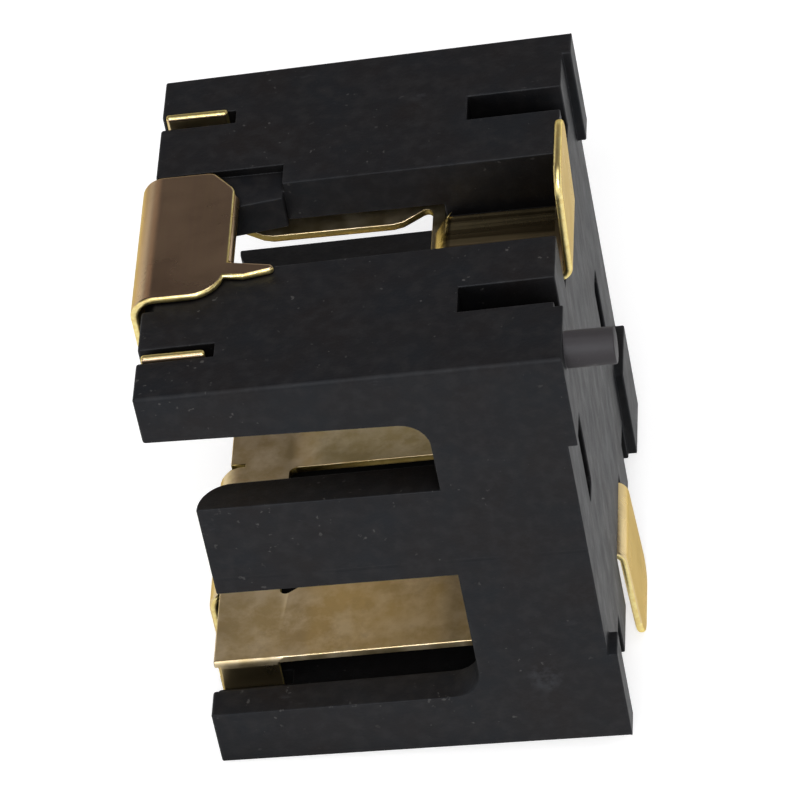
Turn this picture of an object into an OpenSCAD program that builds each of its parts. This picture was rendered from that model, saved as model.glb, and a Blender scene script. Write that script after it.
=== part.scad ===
// Coin cell holder for a printed circuit board: a moulded cage, open at one end for the
// cell, with two identical gold-plated sheet contacts pressed onto its top and bottom walls.
// +X is the board side, -X the cell entry, +Z the top wall. Millimetres.

/* [Housing] */
// depth from the cell entry to the tops of the standoffs
body_d = 12.3; // [12:0.1:14]
// width across the front and back walls at the entry
body_w = 14.44; // [14.2:0.02:18]
// height across the top and bottom walls at the entry
body_h = 14.54; // [14.3:0.02:18]
// how far each outer face leans out on its way to the board side
draft = 0.19; // [0.05:0.01:0.3]
// thickness of the top and bottom walls
wall_t = 1.35; // [1.2:0.05:1.5]
// thickness of the front and back walls
side_t = 1.05; // [0.9:0.05:1.2]
// depth of the cell cavity from the entry
cavity_d = 8.85; // [8.6:0.05:9.2]

/* [Side windows] */
// wall left between the windows' ends and the closed end of the cavity
window_back = 0.7; // [0.45:0.05:1.5]
// wall left above the narrow window, at the entry
lip_h = 1.67; // [1.5:0.01:2]
// wall left below the wide window
low_lip_h = 1.98; // [1.8:0.02:2.2]
// height of the narrow window at the entry
narrow_h = 2.71; // [2.2:0.01:3]
// how much the narrow window narrows towards its closed end
window_draft = 0.14; // [0:0.01:0.2]
// height of the arm between the windows
arm_h = 3.33; // [2.5:0.01:4]
// distance the arm's end stands back from the entry
arm_inset = 1.05; // [0.5:0.05:1.6]
// lead-in radius on the inner corner of the arm's end
arm_r = 1; // [0.3:0.05:1.2]

/* [Contact] */
// sheet thickness of the contacts
sheet_t = 0.24; // [0.2:0.01:0.26]
// width of the leaf inside the cavity
leaf_w = 11.1; // [10:0.02:11.6]
// width of the opening in the leaf
opening_w = 5.7; // [3:0.1:6]
// width of the tail and of its solder foot
foot_w = 3.24; // [2.6:0.02:3.4]
// distance the solder foot stands out past the wall
foot_out = 1.83; // [1:0.01:2.2]
// how far the solder foot leans towards the board
foot_lean = 0.14; // [0:0.01:0.2]
// width of the clip that wraps the wall at the entry
clip_w = 5.5; // [4.8:0.02:6]
// length of the clip along the outside of the wall
clip_l = 2.6; // [2.2:0.02:2.8]
// sideways offset of the clip from the middle of the leaf
clip_shift = 0.35; // [0:0.05:0.6]
// length of the two tabs that stand in the wall
tab_l = 1.85; // [1.2:0.05:2]
// how far the contact sits off the middle of the wall
contact_shift = 0.1; // [0:0.02:0.2]

/* [Board side] */
// height of the corner standoffs
standoff_h = 0.27; // [0.1:0.01:0.4]
// diameter of the locating peg
peg_dia = 1.08; // [0.8:0.02:1.1]
// length of the locating peg past the standoffs
peg_l = 1.44; // [1:0.02:2]
// length of the two cored slots
core_l = 3; // [2:0.1:3.4]
// width of the two cored slots
core_w = 1; // [0.8:0.05:1.4]
// depth of the two cored slots
core_depth = 1.9; // [1:0.1:2.2]

/* [Clearances] */
// free space on each side of the tail in its channel
tail_gap = 0.24; // [0.1:0.02:0.3]
// free space on the inner side of each tab in its slot
tab_gap = 0.33; // [0.2:0.01:0.5]
// depth of the tail's outer face under the inner face of the wall
tail_in = 0.21; // [0.1:0.01:0.4]
// free space behind the leaf, which it bends into
leaf_gap = 0.86; // [0.7:0.02:1]
// free space between the contact and the end of the wall that it wraps
wrap_gap = 0.16; // [0.1:0.01:0.3]

/* [Hidden] */
$fn = 48;
entry_x = -body_d/2;                    // plane of the cell entry
mount_x = body_d/2;                     // plane of the standoffs, which rest on the board
face_x = mount_x - standoff_h;          // moulded face between the standoffs
inner_x = entry_x + cavity_d;           // closed end of the cavity
cavity_w = body_w - 2*side_t;
cavity_h = body_h - 2*wall_t;
side_y = body_w/2 + draft;              // front and back faces at the board side
top_z = body_h + draft;                 // top face at the board side
wrap_out = wrap_gap + sheet_t;          // how far the contact stands out past the entry
// the row's origin: under the middle of the whole part, level with the lower solder foot
origin = [(mount_x + peg_l + entry_x - wrap_out)/2, 0, body_h - top_z - foot_out];

// middle lines of the contact's sheet
leaf_z = body_h - wall_t - leaf_gap - sheet_t/2;
tail_z = body_h - wall_t - tail_in - sheet_t/2;
clip_rise = draft*(clip_l + 1.26)/body_d; // lifts the clip clear of the leaning wall
clip_z = body_h + clip_rise + sheet_t/2;
wrap_r = 0.5;                           // inner radius of the bend onto the clip

opening = [1.9, cavity_d - 0.92];       // the leaf's opening, from the entry
leaf_l = opening[1] + 0.45;
channel_w = foot_w + 2*tail_gap;        // channel in the wall, which the tail runs in
seat = [clip_l + 1.23, clip_w/2 - clip_shift + 0.35]; // seat sunk in the wall by the clip
seat_depth = 0.24;
throat_w = channel_w - 1.26;            // the channel narrows beside the seat
bridge_l = 1.75;                        // wall left between the entry and the channel
wide_pad = [2.34, 3.3];                 // standoffs at the peg's corner and the opposite one
narrow_pad = [1, 3.4];                  // the other two standoffs
peg_in = [1.11, 0.62];                  // from the corner's faces to the peg's axis
core_pos = [4.59, 1.33];                // from the middle of the board side
pocket = [1.08, 1.35, 4.33];            // width, depth and place of the pockets by the foot

plastic = [0.13, 0.13, 0.14];
gold = [0.78, 0.66, 0.38];

// ---- shared helpers ----

// a feature and its copy turned half a turn about the X axis through the middle
module twice() {
    children();
    half_turn() children();
}

module half_turn() {
    translate([0, 0, body_h/2]) rotate([180, 0, 0]) translate([0, 0, -body_h/2]) children();
}

// a side view drawn with X to the right and Z up, extruded width wide about y
module side_extrude(width, y = 0) {
    translate([0, y + width/2, 0]) rotate([90, 0, 0]) linear_extrude(width) children();
}

// a view on the board side, drawn with Y to the right and Z up, extruded towards it from x
module board_extrude(x, depth) {
    translate([x, 0, 0]) rotate([90, 0, 90]) linear_extrude(depth) children();
}

// a rectangle from lo to hi whose corners are rounded by r
module rounded(lo, hi, r) {
    for (x = [lo[0] + r, hi[0] - r], y = [lo[1] + r, hi[1] - r])
        translate([x, y]) circle(r);
    translate([lo[0] + r, lo[1]]) square([hi[0] - lo[0] - 2*r, hi[1] - lo[1]]);
    translate([lo[0], lo[1] + r]) square([hi[0] - lo[0], hi[1] - lo[1] - 2*r]);
}

// points on an arc about centre c, from angle a0 to a1
function arc(c, r, a0, a1, steps = 6) =
    [for (i = [0:steps]) let (a = a0 + (a1 - a0)*i/steps) c + r*[cos(a), sin(a)]];

function unit(v) = v/norm(v);
function left_of(v) = [-v[1], v[0]];
function turn(u, v) = u[0]*v[1] - u[1]*v[0];

// points along one bend of a strip's middle line: corner p between a and b, radius r,
// pushed to the left of the line by off
function bend(a, p, b, r, off, steps = 8) =
    let (u = unit(p - a), v = unit(b - p), s = sign(turn(u, v)),
         ang = acos(max(-1, min(1, u*v))), back = r*tan(ang/2),
         mid = p - back*u + s*r*left_of(u))
    [for (i = [0:steps])
        let (t = s*ang*i/steps, d = -s*left_of(u),
             e = [d[0]*cos(t) - d[1]*sin(t), d[0]*sin(t) + d[1]*cos(t)])
        mid + (r - s*off)*e];

// one long edge of a strip whose middle line follows path, bent to radius r at each corner
function strip_edge(path, r, off) = let (n = len(path)) [
    path[0] + off*left_of(unit(path[1] - path[0])),
    for (i = [1:n - 2], q = bend(path[i - 1], path[i], path[i + 1], r[i - 1], off)) q,
    path[n - 1] + off*left_of(unit(path[n - 1] - path[n - 2]))
];

// the section of a folded sheet that follows path
module folded(path, r) {
    there = strip_edge(path, r, sheet_t/2);
    back = strip_edge(path, r, -sheet_t/2);
    polygon(concat(there, [for (i = [len(back) - 1:-1:0]) back[i]]));
}

// ---- housing ----

// the outer form: a block whose four long faces lean out towards the board side
module outer_block() {
    intersection() {
        linear_extrude(4*body_h, center = true) leaning(body_w/2);
        translate([0, 0, body_h/2]) rotate([90, 0, 0])
            linear_extrude(4*body_w, center = true) leaning(body_h/2);
    }
}

module leaning(half) {
    polygon([[entry_x, -half], [mount_x, -half - draft], [mount_x, half + draft], [entry_x, half]]);
}

// the two windows of the front wall and the stepped-back arm between them
module wall_windows() {
    end = inner_x - window_back;
    top = body_h - lip_h;
    narrow_end = top - window_draft;
    narrow_r = 0.85;
    wide_r = 0.9;
    arm_top = top - narrow_h;
    arm_low = arm_top - arm_h;
    out = entry_x - 1;
    arm_end = entry_x + arm_inset;
    side_extrude(side_t + 1, -body_w/2 + (side_t - 1)/2) {
        polygon(concat([[out, arm_top], [end, arm_top]],
                       arc([end - narrow_r, narrow_end - narrow_r], narrow_r, 0, 90),
                       [[entry_x, top], [out, top]]));
        polygon(concat([[end, arm_low], [out, arm_low], [out, low_lip_h]],
                       arc([end - wide_r, low_lip_h + wide_r], wide_r, -90, 0)));
        translate([out, arm_low - 0.1]) square([arm_end - out, arm_h + 0.2]);
    }
    // lead-in for the cell on the arm's inner corner
    translate([0, 0, arm_low - 0.05]) linear_extrude(arm_h + 0.1) difference() {
        translate([arm_end - 0.1, -cavity_w/2 - arm_r]) square(arm_r + 0.1);
        translate([arm_end + arm_r, -cavity_w/2 - arm_r]) circle(arm_r);
    }
}

// everything that the top wall gives up to its contact
module contact_seat() {
    deep = wall_t + 1;
    translate([0, -contact_shift, 0]) {
        // channel for the tail, narrower beside the seat, and its floor in the closed end
        translate([entry_x + seat[0], -channel_w/2, body_h - wall_t - 0.01])
            cube([body_d, channel_w, deep]);
        translate([entry_x + bridge_l, -throat_w/2, body_h - wall_t - 0.01])
            cube([seat[0], throat_w, deep]);
        translate([inner_x - 0.01, -channel_w/2, tail_z - sheet_t/2]) cube([body_d, channel_w, deep + 1]);
        // seat beside the clip, and the wall's end eased for the bend
        translate([entry_x - 1, -channel_w/2, body_h - seat_depth])
            cube([seat[0] + 1, seat[1] + channel_w/2, 1]);
        ease = wrap_r - wrap_gap + 0.04;
        side_extrude(clip_w + 0.4, -clip_shift)
            polygon([[entry_x - 0.01, body_h - ease], [entry_x + ease, body_h + 0.01],
                     [entry_x - 0.01, body_h + 0.01]]);
        // slots for the tabs, open at the entry
        for (side = [0, 1]) mirror([0, side, 0])
            translate([entry_x - 1, leaf_w/2 - sheet_t - tab_gap, body_h - wall_t - 1])
                cube([tab_l + 0.4 + 1, sheet_t + tab_gap, wall_t + 2]);
    }
    // pockets cored beside the foot, open at the board side
    for (side = [-1, 1])
        translate([inner_x + 0.4, side*pocket[2] - pocket[0]/2, body_h - pocket[1]])
            cube([body_d, pocket[0], pocket[1] + 1]);
}

// what is taken off the board side so that only the four standoffs reach the board
module board_recess() {
    difference() {
        board_extrude(face_x, 1) translate([-2*body_w, -body_h]) square([4*body_w, 3*body_h]);
        twice() board_extrude(face_x - 0.5, 2) {
            translate([-side_y - 1, top_z - wide_pad[1]]) square(wide_pad + [1, 1]);
            translate([side_y - narrow_pad[0], top_z - narrow_pad[1]]) square(narrow_pad + [1, 1]);
        }
    }
}

module housing() {
    color(plastic) translate(-origin) {
        difference() {
            outer_block();
            board_recess();
            // cell cavity
            translate([entry_x - 1, -cavity_w/2, wall_t]) cube([cavity_d + 1, cavity_w, cavity_h]);
            twice() {
                wall_windows();
                contact_seat();
                board_extrude(face_x - core_depth, core_depth + 1)
                    translate([-core_pos[0], body_h/2 + core_pos[1]])
                        rounded(-[core_w, core_l]/2, [core_w, core_l]/2, 0.2);
            }
        }
        // locating peg
        translate([face_x, -side_y + peg_in[0], top_z - peg_in[1]])
            rotate([0, 90, 0]) cylinder(d = peg_dia, h = peg_l + standoff_h);
    }
}

// ---- contacts ----

// the leaf's outline in plan: an opening between two rails, and notches for the bend at the
// entry and for the tail
module leaf_plan() {
    translate([entry_x, 0]) difference() {
        translate([0.05, -leaf_w/2]) square([leaf_l - 0.05, leaf_w]);
        rounded([opening[0], -opening_w/2], [opening[1], opening_w/2], 0.3);
        translate([0, -clip_shift - clip_w/2 - 0.1]) square([0.5, clip_w + 0.2]);
        translate([opening[1] + 0.2, -foot_w/2 - 0.1]) square([1, foot_w + 0.2]);
    }
}

// the clip's outline in plan: rounded at one corner of its free end, and cut back in a curve
// to a pointed tooth at the other
module clip_plan() {
    near = -clip_shift - clip_w/2;
    far = -clip_shift + clip_w/2;
    translate([entry_x, 0]) polygon(concat(
        [[0.4, near]], arc([clip_l - 1.2, near + 1], 1, -90, -12),
        [[clip_l + 0.34, near + 0.68], [clip_l + 1.2, near + 0.84], [clip_l + 1.26, near + 0.97],
         [clip_l + 1.16, near + 1.08], [clip_l - 0.1, near + 1.36]],
        arc([clip_l - 0.6, far - 1], 0.5, 0, 40), arc([clip_l - 0.95, far - 0.4], 0.4, 50, 90),
        [[0.4, far]]));
}

module contact() {
    wrap_x = entry_x - wrap_gap - sheet_t/2;
    bend_r = wrap_r + sheet_t/2;
    foot_x = mount_x - sheet_t/2 - 0.02;
    rise_x = entry_x + opening[1] + 0.17;
    hook = [-clip_shift - clip_w/2 + 1.4, -clip_shift + clip_w/2 - 1];
    translate([0, -contact_shift, 0]) {
        // leaf
        translate([0, 0, leaf_z - sheet_t/2]) linear_extrude(sheet_t) leaf_plan();
        // tail, which rises from the leaf's end, and solder foot
        intersection() {
            side_extrude(foot_w)
                folded([[entry_x + opening[1], leaf_z], [rise_x, leaf_z], [rise_x + 0.42, tail_z],
                        [foot_x, tail_z], [foot_x + foot_lean, top_z + foot_out + 0.02]],
                       [0.22, 0.22, 0.35]);
            board_extrude(entry_x, 2*body_d)
                rounded([-foot_w/2, 0], [foot_w/2, top_z + foot_out], 0.8);
        }
        // bend round the entry end of the wall, and the clip
        side_extrude(clip_w, -clip_shift)
            folded([[entry_x + 0.8, leaf_z], [wrap_x, leaf_z], [wrap_x, clip_z],
                    [entry_x + 0.6, clip_z]], [0.7, bend_r]);
        translate([0, 0, clip_z - sheet_t/2]) linear_extrude(sheet_t) clip_plan();
        // its free end, turned down over the seat
        side_extrude(hook[1] - hook[0], (hook[0] + hook[1])/2)
            folded([[entry_x + clip_l - 0.6, clip_z], [entry_x + clip_l - sheet_t/2, clip_z],
                    [entry_x + clip_l - sheet_t/2, body_h - 0.12]], [0.17]);
        // tabs that stand in the wall
        for (side = [0, 1]) mirror([0, side, 0])
            translate([entry_x + 0.15, leaf_w/2 - sheet_t, leaf_z - sheet_t/2])
                cube([tab_l, sheet_t, body_h - 0.06 - leaf_z + sheet_t/2]);
    }
}

module top_contact() { color(gold) translate(-origin) contact(); }
module bottom_contact() { color(gold) translate(-origin) half_turn() contact(); }

housing();
top_contact();
bottom_contact();
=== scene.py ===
import math

import bmesh
import bpy
from mathutils import Matrix, Vector
from mathutils.bvhtree import BVHTree


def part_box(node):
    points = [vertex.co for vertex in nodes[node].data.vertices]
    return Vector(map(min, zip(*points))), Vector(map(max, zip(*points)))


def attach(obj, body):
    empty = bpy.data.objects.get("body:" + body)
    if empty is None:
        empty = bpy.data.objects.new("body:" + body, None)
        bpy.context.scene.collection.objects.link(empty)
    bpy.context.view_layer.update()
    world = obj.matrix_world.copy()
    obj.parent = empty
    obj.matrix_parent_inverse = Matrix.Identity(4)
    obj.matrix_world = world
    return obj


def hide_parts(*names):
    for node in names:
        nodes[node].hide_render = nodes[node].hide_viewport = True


MM = 0.001

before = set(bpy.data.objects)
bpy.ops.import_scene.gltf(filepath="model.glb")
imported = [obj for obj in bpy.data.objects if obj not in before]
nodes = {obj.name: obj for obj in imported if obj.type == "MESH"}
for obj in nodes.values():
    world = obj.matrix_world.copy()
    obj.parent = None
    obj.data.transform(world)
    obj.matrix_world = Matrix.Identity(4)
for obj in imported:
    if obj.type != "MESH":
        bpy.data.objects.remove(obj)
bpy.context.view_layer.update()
shell_lo, shell_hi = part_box("housing")
centre = (shell_lo + shell_hi) / 2
entry_x = shell_lo.x


# ---------- node helpers ----------

class Graph:
    """A short way to write a node tree: add a node, then set its sockets to values or outputs."""

    def __init__(self, tree):
        self.tree = tree
        tree.nodes.clear()

    def add(self, kind, sockets=None, **settings):
        node = self.tree.nodes.new(kind)
        for key, value in settings.items():
            setattr(node, key, value)
        for key, value in (sockets or {}).items():
            self.put(node.inputs[key], value)
        return node

    def put(self, socket, value):
        if isinstance(value, bpy.types.NodeSocket):
            self.tree.links.new(value, socket)
        else:
            socket.default_value = value

    def math(self, kind, a, b=0.0):
        return self.add("ShaderNodeMath", {0: a, 1: b}, operation=kind).outputs[0]

    def noise(self, where, scale, detail=3.0, rough=0.55, stretch=None):
        if stretch:
            where = self.add("ShaderNodeMapping", {"Vector": where, "Scale": stretch}).outputs[0]
        return self.add("ShaderNodeTexNoise", {"Vector": where, "Scale": scale, "Detail": detail,
                                               "Roughness": rough}).outputs["Fac"]

    def ramp(self, value, lo, hi, to_lo=0.0, to_hi=1.0):
        return self.add("ShaderNodeMapRange", {"Value": value, "From Min": lo, "From Max": hi,
                                               "To Min": to_lo, "To Max": to_hi}).outputs[0]

    def blend(self, fac, a, b):
        node = self.add("ShaderNodeMix", data_type="RGBA")
        for socket, value in ((node.inputs[0], fac), (node.inputs[6], a), (node.inputs[7], b)):
            self.put(socket, value)
        return node.outputs[2]

    def bump(self, height, depth, normal=None):
        sockets = {"Height": height, "Distance": depth, "Strength": 1.0}
        if normal:
            sockets["Normal"] = normal
        return self.add("ShaderNodeBump", sockets).outputs[0]


def bare_material(name):
    mat = bpy.data.materials.new(name)
    mat.use_nodes = True
    graph = Graph(mat.node_tree)
    return mat, graph, graph.add("ShaderNodeOutputMaterial")


def material(name):
    mat, graph, out = bare_material(name)
    shader = graph.add("ShaderNodeBsdfPrincipled")
    graph.put(out.inputs[0], shader.outputs[0])
    where = graph.add("ShaderNodeTexCoord").outputs["Object"]
    return mat, graph, shader, where


# ---------- finishes ----------

contact_lo, contact_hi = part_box("bottom_contact")
leaf_side = (contact_hi.y - contact_lo.y) / 2
leaf_out = centre.z - max(v.co.z for v in nodes["bottom_contact"].data.vertices)
mould_draft = 0.19 * MM
peg_length = 1.44 * MM
wall_out = (shell_hi.z - shell_lo.z) / 2 - mould_draft
peg_root = shell_hi.x - peg_length
parting_z = centre.z + 0.14 * MM
# places along X, from the entry
clip_zone_end = entry_x + 5 * MM
tabs_end = entry_x + 2.1 * MM
opening = (entry_x + 1.9 * MM, entry_x + 7.93 * MM)
throat_x = entry_x + 3.83 * MM
leaf_end = entry_x + 8.3 * MM
cavity_end = entry_x + 8.85 * MM
tail_end = entry_x + 11.7 * MM
gate_at = Vector((entry_x + 10.05 * MM, shell_lo.y + 0.03 * MM, shell_hi.z - 12.25 * MM))


def edge_mask(graph, radius, lo=0.02, hi=0.25):
    """1 along convex and concave edges, 0 on open faces, from the rounded normal."""
    soft = graph.add("ShaderNodeBevel", {"Radius": radius}, samples=6).outputs[0]
    plain = graph.add("ShaderNodeNewGeometry").outputs["Normal"]
    dot = graph.add("ShaderNodeVectorMath", {0: soft, 1: plain}, operation="DOT_PRODUCT").outputs["Value"]
    return graph.ramp(graph.math("SUBTRACT", 1.0, dot), lo, hi)


def black_plastic():
    mat, g, shader, where = material("moulded_plastic")
    at = g.add("ShaderNodeSeparateXYZ", {0: where}).outputs
    cloud = g.noise(where, 420, 5, 0.6)
    mottle = g.noise(where, 2300, 3, 0.55)
    grain = g.noise(where, 9000, 3, 0.6)
    scuff = g.noise(where, 700, 5, 0.65, (0.5, 2.0, 1.0))
    base = g.blend(g.ramp(cloud, 0.35, 0.65), (0.0112, 0.0092, 0.0092, 1), (0.0096, 0.0106, 0.0128, 1))
    base = g.blend(g.ramp(mottle, 0.45, 0.70, 0.0, 0.8), base, (0.0190, 0.0182, 0.0190, 1))
    # painted highlight: the peg's colour is made paler than the walls, standing in for the light that its
    # top catches
    peg_painted_highlight = g.math("GREATER_THAN", at["X"], peg_root)
    base = g.blend(g.math("MULTIPLY", peg_painted_highlight, 0.8), base, (0.060, 0.055, 0.058, 1))
    # dust specks, scuffs, and pale wear along the edges
    speck = g.math("MULTIPLY", g.ramp(g.noise(where, 4200, 2, 0.5), 0.69, 0.73),
                   g.ramp(g.noise(where, 330, 2), 0.48, 0.58))
    smear = g.math("MULTIPLY", g.ramp(g.noise(where, 1700, 4, 0.7, (0.5, 1.0, 1.0)), 0.64, 0.74),
                   g.ramp(g.noise(where, 260, 2), 0.50, 0.62))
    edge = g.math("MULTIPLY", edge_mask(g, 0.16 * MM), g.ramp(g.noise(where, 620, 4, 0.7), 0.47, 0.62))
    base = g.blend(g.math("MULTIPLY", speck, 0.40), base, (0.15, 0.145, 0.14, 1))
    base = g.blend(g.math("MULTIPLY", smear, 0.50), base, (0.042, 0.042, 0.046, 1))
    base = g.blend(g.math("MULTIPLY", edge, 0.45), base, (0.075, 0.078, 0.084, 1))
    # the parting line round the middle, and the gate's scar low on the front wall
    line = g.ramp(g.math("ABSOLUTE", g.math("SUBTRACT", at["Z"], parting_z)), 0.03 * MM, 0.07 * MM,
                  1.0, 0.0)
    line = g.math("MULTIPLY", line, g.ramp(cloud, 0.40, 0.55))
    base = g.blend(g.math("MULTIPLY", line, 0.35), base, (0.004, 0.004, 0.005, 1))
    off = g.add("ShaderNodeVectorMath", {0: where, 1: gate_at}, operation="DISTANCE").outputs["Value"]
    off = g.math("ADD", off, g.math("MULTIPLY", g.math("SUBTRACT", cloud, 0.5), 1.2 * MM))
    scar = g.math("MULTIPLY", g.ramp(off, 0.20 * MM, 0.50 * MM, 1.0, 0.0), g.ramp(mottle, 0.42, 0.60))
    base = g.blend(g.math("MULTIPLY", scar, 0.50), base, (0.050, 0.052, 0.058, 1))
    # painted shade: ambient occlusion darkens the colour of the recesses and lowers their reflection, where
    # the walls shade them
    openness_for_painted_shade = g.add("ShaderNodeAmbientOcclusion", {"Distance": 4 * MM}, samples=8).outputs["AO"]
    painted_recess_shade = g.ramp(openness_for_painted_shade, 0.34, 0.70, 1.0, 0.0)
    base = g.blend(g.math("MULTIPLY", painted_recess_shade, 0.85), base, (0.0015, 0.0013, 0.0012, 1))
    g.put(shader.inputs["Base Color"], base)
    g.put(shader.inputs["Roughness"], g.ramp(scuff, 0.3, 0.7, 0.48, 0.62))
    # painted shade: the reflection is lowered in the recesses as well
    g.put(shader.inputs["Specular IOR Level"], g.ramp(openness_for_painted_shade, 0.34, 0.70, 0.04, 0.20))
    shader.inputs["Specular Tint"].default_value = (0.88, 0.94, 1.0, 1)
    dents = g.math("ADD", g.math("MULTIPLY", line, -0.5), g.math("MULTIPLY", scar, 0.8))
    rough = g.bump(scuff, 0.006 * MM, g.bump(dents, 0.010 * MM))
    g.put(shader.inputs["Normal"], g.bump(grain, 0.008 * MM, g.bump(mottle, 0.008 * MM, rough)))
    return mat


def gold_sheet():
    mat, g, shader, where = material("gold_plate")
    at = g.add("ShaderNodeSeparateXYZ", {0: where}).outputs
    cloud = g.noise(where, 420, 4, 0.6)
    blotch = g.noise(where, 1400, 4, 0.6)
    brush = g.noise(where, 900, 4, 0.6, (5.0, 0.12, 0.12))
    crease = g.noise(where, 1300, 3, 0.6, (0.05, 3.0, 3.0))
    stain = g.ramp(g.noise(where, 900, 5, 0.7), 0.55, 0.75)
    rise = g.math("ABSOLUTE", g.math("SUBTRACT", at["Z"], centre.z))
    outside = g.math("MULTIPLY", g.math("GREATER_THAN", rise, wall_out),
                     g.math("LESS_THAN", at["X"], clip_zone_end))
    leaf = g.math("MULTIPLY", g.math("LESS_THAN", rise, leaf_out + 0.3 * MM),
                  g.math("LESS_THAN", at["X"], leaf_end))
    tail = g.math("MULTIPLY", g.math("GREATER_THAN", at["X"], leaf_end),
                  g.math("LESS_THAN", at["X"], tail_end))
    base = g.blend(g.ramp(cloud, 0.35, 0.65), (0.78, 0.62, 0.34, 1), (0.70, 0.55, 0.30, 1))
    base = g.blend(g.math("MULTIPLY", leaf, g.ramp(blotch, 0.40, 0.65)), base, (0.90, 0.76, 0.52, 1))
    base = g.blend(g.math("MULTIPLY", outside, g.ramp(brush, 0.3, 0.7, 0.70, 0.90)), base,
                   (0.60, 0.43, 0.30, 1))
    base = g.blend(g.math("MULTIPLY", stain, 0.30), base, (0.40, 0.29, 0.17, 1))
    base = g.blend(g.math("MULTIPLY", tail, g.ramp(crease, 0.46, 0.58, 0.75, 0.0)), base,
                   (0.16, 0.11, 0.055, 1))
    g.put(shader.inputs["Base Color"], base)
    shader.inputs["Metallic"].default_value = 1.0
    shader.inputs["Specular Tint"].default_value = (0.62, 0.51, 0.25, 1)
    dull = g.math("MULTIPLY", leaf, g.ramp(blotch, 0.3, 0.7, 0.08, 0.20))
    g.put(shader.inputs["Roughness"], g.math("ADD", g.ramp(cloud, 0.3, 0.7, 0.24, 0.34), dull))
    height = g.math("ADD", g.math("MULTIPLY", brush, g.math("MULTIPLY", outside, 0.25)),
                    g.math("MULTIPLY", crease, tail))
    worn = g.bump(blotch, 0.010 * MM, g.bump(cloud, 0.010 * MM))
    g.put(shader.inputs["Normal"], g.bump(height, 0.016 * MM, worn))
    return mat


def sheared_gold():
    mat, g, shader, where = material("gold_sheared")
    tear = g.noise(where, 6000, 3, 0.6, (1.0, 0.4, 1.0))
    base = g.blend(g.ramp(tear, 0.35, 0.65), (0.95, 0.82, 0.38, 1), (0.84, 0.66, 0.26, 1))
    # painted shade: the sheared edges of the leaf, inside the housing, are painted darker than those that
    # stand outside
    height = g.add("ShaderNodeSeparateXYZ", {0: where}).outputs["Z"]
    rise = g.math("ABSOLUTE", g.math("SUBTRACT", height, centre.z))
    base = g.blend(g.ramp(rise, leaf_out + 0.26 * MM, leaf_out + 0.34 * MM, 0.9, 0.0), base,
                   (0.13, 0.085, 0.018, 1))
    g.put(shader.inputs["Base Color"], base)
    shader.inputs["Metallic"].default_value = 1.0
    shader.inputs["Specular Tint"].default_value = (0.90, 0.80, 0.45, 1)
    g.put(shader.inputs["Roughness"], g.ramp(tear, 0.3, 0.7, 0.30, 0.45))
    g.put(shader.inputs["Normal"], g.bump(tear, 0.012 * MM))
    return mat


# ---------- pieces ----------

def dressed(node, name, materials, widths, form, face_slot=None):
    """A copy of a CAD node whose flat faces are joined and whose edges are rounded. widths gives
    an edge's rounding from its two ends and its angle, form adds small shapes, and face_slot
    gives a face's material."""
    mesh = bpy.data.meshes.new(name)
    bm = bmesh.new()
    bm.from_mesh(nodes[node].data)
    bmesh.ops.remove_doubles(bm, verts=bm.verts, dist=0.0005 * MM)
    bmesh.ops.dissolve_limit(bm, angle_limit=math.radians(0.4), verts=bm.verts, edges=bm.edges)
    form(bm)
    bm.normal_update()
    weight = bm.edges.layers.float.new("bevel_weight_edge")
    most = 0.0
    for e in bm.edges:
        if len(e.link_faces) == 2:
            angle = math.degrees(e.calc_face_angle(0.0))
            e[weight] = widths(e.verts[0].co, e.verts[1].co, angle, e.is_convex)
            most = max(most, e[weight])
    for e in bm.edges:
        e[weight] /= most
    tree = BVHTree.FromBMesh(bm)
    for f in bm.faces:
        f.smooth = True
        f.material_index = face_slot(f, tree) if face_slot else 0
    bm.to_mesh(mesh)
    bm.free()
    for m in materials:
        mesh.materials.append(m)
    piece = bpy.data.objects.new(name, mesh)
    bpy.context.scene.collection.objects.link(piece)
    round_off = piece.modifiers.new("edges", "BEVEL")
    round_off.limit_method = "WEIGHT"
    round_off.width = most
    round_off.segments = 3
    round_off.use_clamp_overlap = False
    round_off.miter_outer = "MITER_SHARP"
    round_off.harden_normals = True
    flat = piece.modifiers.new("normals", "WEIGHTED_NORMAL")
    flat.keep_sharp = True
    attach(piece, "root")
    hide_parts(node)


def housing_edges(a, b, angle, convex):
    if angle < 25:
        return 0.0
    half = (shell_hi.y - shell_lo.y) / 2
    outer = all(abs(abs(p.y) - half) < 0.35 * MM and
                min(p.z - shell_lo.z, shell_hi.z - p.z) < 0.35 * MM for p in (a, b))
    if outer:
        return 0.15 * MM
    rim = all(p.x - entry_x < 0.02 * MM for p in (a, b))
    return 0.09 * MM if convex and rim else 0.05 * MM if convex else 0.03 * MM


def contact_edges(a, b, angle, convex):
    """The sheared edges are rounded over, and the fold at each tab more so."""
    if angle < 40:
        return 0.0
    fold = (convex and abs(a.y - b.y) < 0.01 * MM and abs(abs(a.y) - leaf_side) < 0.12 * MM and
            max(a.x, b.x) < tabs_end and
            max(abs(abs(p.z - centre.z) - leaf_out) for p in (a, b)) < 0.02 * MM)
    if fold:
        return 0.20 * MM
    if not convex:
        return 0.0
    leaf = all(abs(abs(p.z - centre.z) - leaf_out) < 0.32 * MM for p in (a, b))
    return 0.035 * MM if leaf else 0.095 * MM


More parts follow.
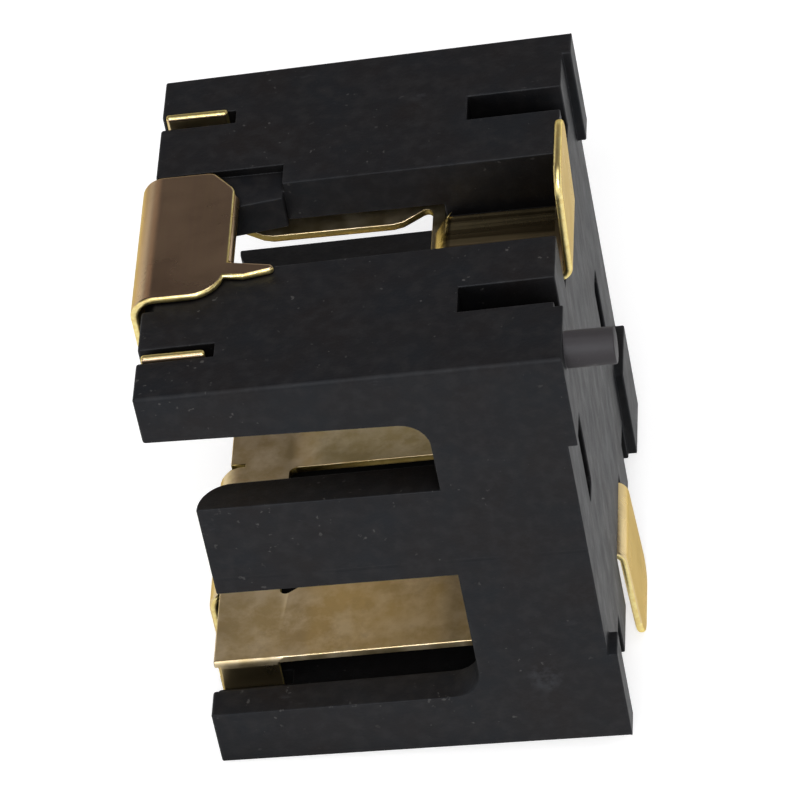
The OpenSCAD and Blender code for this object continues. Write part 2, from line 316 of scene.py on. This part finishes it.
def contact_form(bm):
    """Shapes that the CAD lacks: the tabs' ends stand 0.14 mm proud of the wall, and the rails
    beside the leaf's opening are dished towards the cell and drawn in. Without the dish, the
    opening shows as a strip at the top of the wide window."""
    lo, hi = opening
    dish, draw = 0.26 * MM, 0.30 * MM
    side = math.copysign(1, sum(v.co.z - centre.z for v in bm.verts))
    # cuts across the rails, in mm from the opening's near end, closer where the dish curves
    for cut in (0.0, 0.3, 0.6, 0.9, 1.2, 3.0, 4.8, 5.1, 5.4, 5.7, 6.03):
        flat = [v for v in bm.verts if abs(abs(v.co.z - centre.z) - leaf_out) < 0.3 * MM]
        keep = set(flat)
        edges = [e for e in bm.edges if keep.issuperset(e.verts)]
        faces = [f for f in bm.faces if keep.issuperset(f.verts)]
        bmesh.ops.bisect_plane(bm, geom=flat + edges + faces, dist=0.002 * MM,
                               plane_co=(lo + cut * MM, 0, 0), plane_no=(1, 0, 0))
    for v in bm.verts:
        away = abs(v.co.z - centre.z)
        if abs(abs(v.co.y) - leaf_side) < 0.4 * MM and v.co.x < tabs_end:
            if away > leaf_out + 1 * MM:
                v.co.z += 0.20 * MM * side
        elif away < leaf_out + 0.3 * MM and lo < v.co.x < hi and abs(v.co.y) < 3.2 * MM:
            rise = min(1, min(v.co.x - lo, hi - v.co.x) / (1.2 * MM))
            rise = rise * rise * (3 - 2 * rise)
            v.co.z -= side * dish * rise
            v.co.y -= math.copysign(draw * rise, v.co.y)


def housing_form(bm):
    """Shapes that the CAD lacks: the cavity's closed end is 0.42 mm nearer the entry, as a gap
    would show beside the tail otherwise, and each channel's throat opens out a little."""
    for v in bm.verts:
        if abs(v.co.x - cavity_end) < 0.03 * MM:
            v.co.x -= 0.42 * MM
        elif abs(v.co.x - throat_x) < 0.03 * MM and 0.9 * MM < abs(v.co.y) < 1.5 * MM:
            v.co.y += math.copysign(0.32 * MM, v.co.y)


def contact_faces(f, tree):
    """0 for the sheet's rolled faces, 1 for its sheared edges: a narrow face with much metal
    behind it."""
    around = sum(e.calc_length() for e in f.edges)
    if 2 * f.calc_area() / around > 0.3 * MM:
        return 0
    if abs(f.normal.y) > 0.9:
        return 1
    middle = f.calc_center_median()
    hit = tree.ray_cast(middle - f.normal * 0.002 * MM, -f.normal, 2 * MM)
    return 0 if hit[3] is not None and hit[3] < 0.35 * MM else 1


plastic, gold, sheared = black_plastic(), gold_sheet(), sheared_gold()
dressed("housing", "housing_shell", [plastic], housing_edges, housing_form)
for which in ("top", "bottom"):
    dressed(which + "_contact", which + "_contact_sheet", [gold, sheared],
            contact_edges, contact_form, contact_faces)


# ---------- floor, light, camera ----------

def resting_tilt():
    """The point that the part stands on and the slope of the floor that touches it there and at
    the clip's bend."""
    points = [v.co for v in nodes["bottom_contact"].data.vertices]
    foot = min(points, key=lambda p: (p.z, p.x))
    slope = min((p.z - foot.z) / (foot.x - p.x) for p in points if p.x < foot.x - 3 * MM)
    return foot, slope


def background_ray(g):
    """1 for the rays that show the background: the camera's, and those in metal and glass."""
    path = g.add("ShaderNodeLightPath").outputs
    seen = g.math("MAXIMUM", path["Is Camera Ray"], path["Is Glossy Ray"])
    return g.math("MAXIMUM", seen, path["Is Transmission Ray"])


def flat_sheet(name, segments, size, place):
    bm = bmesh.new()
    bmesh.ops.create_grid(bm, x_segments=segments, y_segments=segments, size=size)
    mesh = bpy.data.meshes.new(name)
    bm.to_mesh(mesh)
    bm.free()
    sheet = bpy.data.objects.new(name, mesh)
    sheet.matrix_world = place
    bpy.context.scene.collection.objects.link(sheet)
    return sheet


def make_floor():
    foot, slope = resting_tilt()
    floor = flat_sheet("floor", 2, 0.6, Matrix.Translation(foot) @ Matrix.Rotation(math.atan(slope), 4, "Y"))
    mat, g, out = bare_material("pale_floor")
    where = g.add("ShaderNodeTexCoord").outputs["Object"]
    seen_ray = background_ray(g)
    tone = g.blend(g.ramp(g.noise(where, 900, 3), 0.3, 0.7), (0.52, 0.52, 0.52, 1), (0.55, 0.55, 0.55, 1))
    paper = g.add("ShaderNodeBsdfDiffuse", {"Color": tone, "Roughness": 1.0})
    seen = g.add("ShaderNodeBsdfDiffuse", {"Color": (0.58, 0.58, 0.58, 1), "Roughness": 1.0})
    lift = g.add("ShaderNodeEmission", {"Color": (1, 1, 1, 1), "Strength": 0.66})
    lifted = g.add("ShaderNodeAddShader", {0: seen.outputs[0], 1: lift.outputs[0]})
    mix = g.add("ShaderNodeMixShader", {0: seen_ray, 1: paper.outputs[0], 2: lifted.outputs[0]})
    g.put(out.inputs[0], mix.outputs[0])
    floor.data.materials.append(mat)


def make_world():
    world = bpy.data.worlds.new("studio")
    bpy.context.scene.world = world
    world.use_nodes = True
    g = Graph(world.node_tree)
    out = g.add("ShaderNodeOutputWorld")
    ray = g.add("ShaderNodeTexCoord").outputs["Generated"]
    height = g.add("ShaderNodeSeparateXYZ", {0: ray}).outputs["Z"]
    # white at the horizon, and a dark ceiling over it
    room = g.blend(g.ramp(height, 0.10, 0.55), (0.42, 0.43, 0.45, 1), (0.060, 0.050, 0.055, 1))
    shown = g.blend(g.ramp(height, 0.12, 0.50), (1, 1, 1, 1), room)
    # a warm patch of wall up on the left, which the clip's bend mirrors
    near = g.add("ShaderNodeVectorMath", {0: ray, 1: Vector((-0.43, 0.75, 0.51)).normalized()},
                 operation="DOT_PRODUCT").outputs["Value"]
    shown = g.blend(g.ramp(near, 0.982, 0.996), shown, (0.34, 0.25, 0.22, 1))
    path = g.add("ShaderNodeLightPath").outputs
    shown = g.blend(path["Is Camera Ray"], shown, (1, 1, 1, 1))
    shade = g.add("ShaderNodeBackground", {"Strength": 1.0})
    g.put(shade.inputs["Color"], g.blend(background_ray(g), room, shown))
    g.put(out.inputs[0], shade.outputs[0])


def make_card():
    """A pale card low behind the part, which only mirrors see: the leaf shows it through the
    back window."""
    middle = Vector((entry_x + 2.5 * MM, shell_hi.y + 8 * MM, shell_lo.z + 15.5 * MM))
    turn = Matrix.Rotation(math.radians(-130), 4, "X")
    stretch = Matrix.Diagonal((0.030, 0.0085, 1, 1))
    card = flat_sheet("card", 1, 0.5, Matrix.Translation(middle) @ turn @ stretch)
    mat, g, out = bare_material("pale_card")
    glow = g.add("ShaderNodeEmission", {"Color": (1, 0.97, 0.95, 1), "Strength": 0.5})
    g.put(out.inputs[0], glow.outputs[0])
    card.data.materials.append(mat)
    for ray in ("camera", "diffuse", "shadow", "transmission", "volume_scatter"):
        setattr(card, "visible_" + ray, False)


def lamp(name, place, size, power):
    data = bpy.data.lights.new(name, "AREA")
    data.shape = "RECTANGLE"
    data.size, data.size_y = size
    data.energy = power
    obj = bpy.data.objects.new(name, data)
    obj.location = centre + Vector(place)
    obj.rotation_euler = (centre - obj.location).to_track_quat("-Z", "Y").to_euler()
    bpy.context.scene.collection.objects.link(obj)


def make_camera():
    """The view that was fitted to the housing's corners in the photo."""
    data = bpy.data.cameras.new("camera")
    data.sensor_width = 36
    data.lens = 278.2
    data.clip_start, data.clip_end = 0.01, 5
    cam = bpy.data.objects.new("camera", data)
    right = Vector((0.9866, 0.0392, -0.1583)).normalized()
    away = Vector((0.1341, -0.7475, 0.6506))
    away = (away - away.dot(right) * right).normalized()
    up = away.cross(right)
    turn = Matrix((right, up, away)).transposed().to_4x4()
    place = Vector((entry_x + 30.90 * MM, centre.y - 137.44 * MM, centre.z + 119.69 * MM))
    cam.matrix_world = Matrix.Translation(place) @ turn
    bpy.context.scene.collection.objects.link(cam)
    bpy.context.scene.camera = cam


make_floor()
make_world()
make_card()
lamp("key", (0.02, -0.27, 0.24), (0.14, 0.12), 0.75)
lamp("side", (-0.20, -0.24, 0.08), (0.16, 0.16), 0.08)
lamp("top", (0.05, -0.05, 0.32), (0.30, 0.20), 0.36)
make_camera()
bpy.context.scene.view_settings.view_transform = "Standard"
